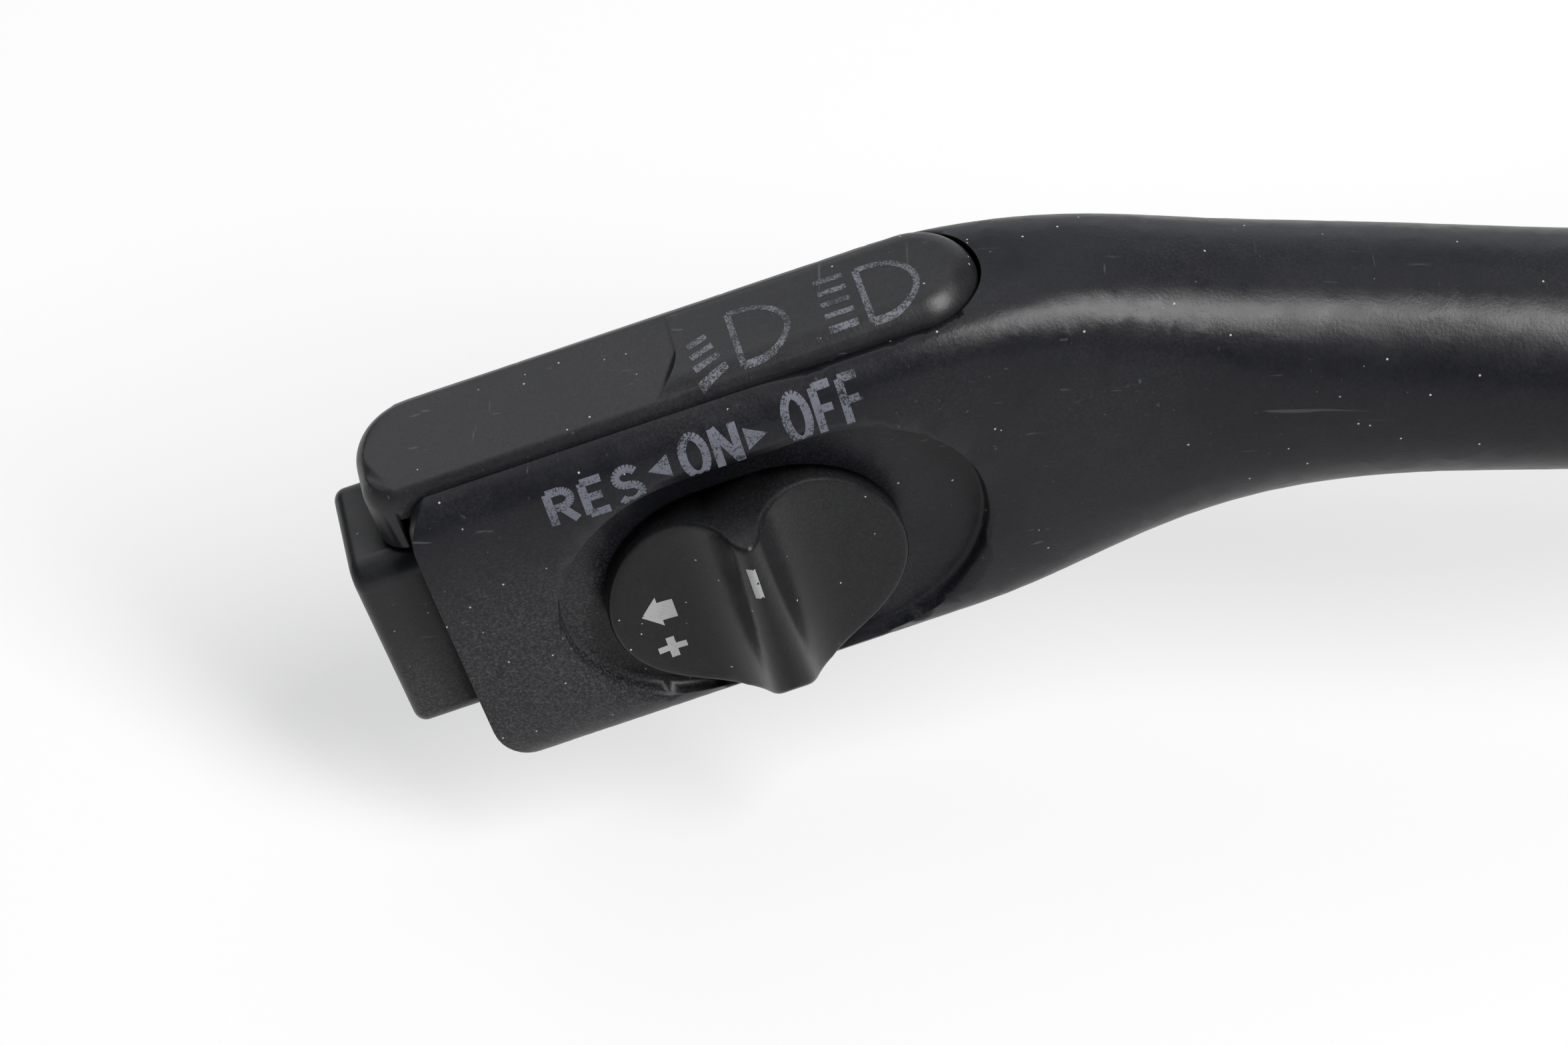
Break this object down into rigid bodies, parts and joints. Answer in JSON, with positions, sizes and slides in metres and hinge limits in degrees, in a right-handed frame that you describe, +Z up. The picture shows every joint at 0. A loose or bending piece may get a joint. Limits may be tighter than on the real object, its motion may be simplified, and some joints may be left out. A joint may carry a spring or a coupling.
{
  "type": "combination stalk switch",
  "caption": "Steering column stalk with turn and beam swings, a sliding cruise knob, an end button and a plug-in switch module.",
  "frame": {"origin": "centre between the two mounting holes, on the rear mounting face of the switch module", "axes": "+X from the grip towards the steering column, +Y forwards out of the rear mounting face, away from the driver, +Z up"},
  "size_m": [0.1967, 0.0528, 0.06],
  "materials": {
    "lever_plastic": "fine-grained black moulding, slightly polished by use",
    "cover_plastic": "satin black moulding, worn in the thumb scoop",
    "knob_plastic": "satin black moulding",
    "button_plastic": "satin black moulding",
    "housing_plastic": "glass-filled black moulding",
    "cover_plate_plastic": "dark grey moulding",
    "carrier_plastic": "natural acetal moulding",
    "board": "green laminate",
    "switch_plastic": "black switch case",
    "steel": "zinc plated steel",
    "spring_steel": "drawn spring wire",
    "zinc": "die-cast arm, matt",
    "contact_brass": "tinned brass",
    "wire_insulation": "taped wires"
  },
  "bodies": {
    "module": {"module_housing": "housing_plastic", "module_rear_cover": "cover_plate_plastic", "cover_screws": "steel", "mounting_bushes": "steel", "connector_shroud": "housing_plastic", "connector_pins": "contact_brass", "contact_plate": "cover_plate_plastic", "detent_track": "carrier_plastic", "cancel_pawl_pin": "steel", "cancel_pawl_leaf": "spring_steel"},
    "yoke": {"turn_signal_yoke": "carrier_plastic", "turn_detent_spring": "spring_steel"},
    "lever": {"lever_body": "lever_plastic", "lever_root_arm": "zinc", "upper_cover": "cover_plastic", "wire_bundle": "wire_insulation", "head_circuit_board": "board", "set_contact_switch": "switch_plastic", "beam_pivot_pin": "steel", "beam_detent_spring": "spring_steel", "set_return_spring": "spring_steel"},
    "slider": {"slider_knob": "knob_plastic", "slider_carriage": "carrier_plastic", "slider_wipers": "contact_brass"},
    "set_key": {"set_button": "button_plastic"},
    "pawl": {"cancel_pawl": "carrier_plastic"},
    "turn_plunger": {"turn_detent_plunger": "steel"},
    "beam_plunger": {"beam_detent_plunger": "steel"},
    "carriage": {"turn_contact_carriage": "carrier_plastic", "turn_contact_bridges": "contact_brass"}
  },
  "joints": [
    {"name": "turn_swing", "type": "hinge", "parent": "module", "child": "yoke", "pos_m": [-0.012, -0.017, 0], "axis": [0, 1, 0], "range_deg": [-8, 8]},
    {"name": "beam_swing", "type": "hinge", "parent": "yoke", "child": "lever", "pos_m": [-0.012, -0.017, 0], "axis": [0, 0, 1], "range_deg": [-4.5, 4.5]},
    {"name": "slider_travel", "type": "slide", "parent": "lever", "child": "slider", "axis": [0.9478, 0.2258, 0.225], "range_m": [-0.0018, 0.0038]},
    {"name": "set_press", "type": "slide", "parent": "lever", "child": "set_key", "axis": [0.9478, 0.2258, 0.225], "range_m": [0, 0.0015], "stiffness_N_per_m": 500, "springref_m": -0.001, "deforming": ["set_return_spring"]},
    {"name": "pawl_swing", "type": "hinge", "parent": "module", "child": "pawl", "pos_m": [0.018, -0.0285, 0], "axis": [0, 1, 0], "range_deg": [-10, 10], "stiffness_Nm_per_rad": 0.02, "deforming": ["cancel_pawl_leaf"]},
    {"name": "turn_plunger_press", "type": "slide", "parent": "yoke", "child": "turn_plunger", "axis": [-1, 0, 0], "range_m": [0, 0.0008], "stiffness_N_per_m": 800, "springref_m": -0.001, "deforming": ["turn_detent_spring"]},
    {"name": "beam_plunger_press", "type": "slide", "parent": "lever", "child": "beam_plunger", "axis": [-1, 0, 0], "range_m": [0, 0.0008], "stiffness_N_per_m": 800, "springref_m": -0.001, "deforming": ["beam_detent_spring"]},
    {"name": "carriage_slide", "type": "slide", "parent": "module", "child": "carriage", "axis": [0, 0, 1], "range_m": [-0.0034, 0.0034]}
  ],
  "couplings": [
    {"joint": "carriage_slide", "follows": "turn_swing", "m_per_rad": -0.0235}
  ]
}
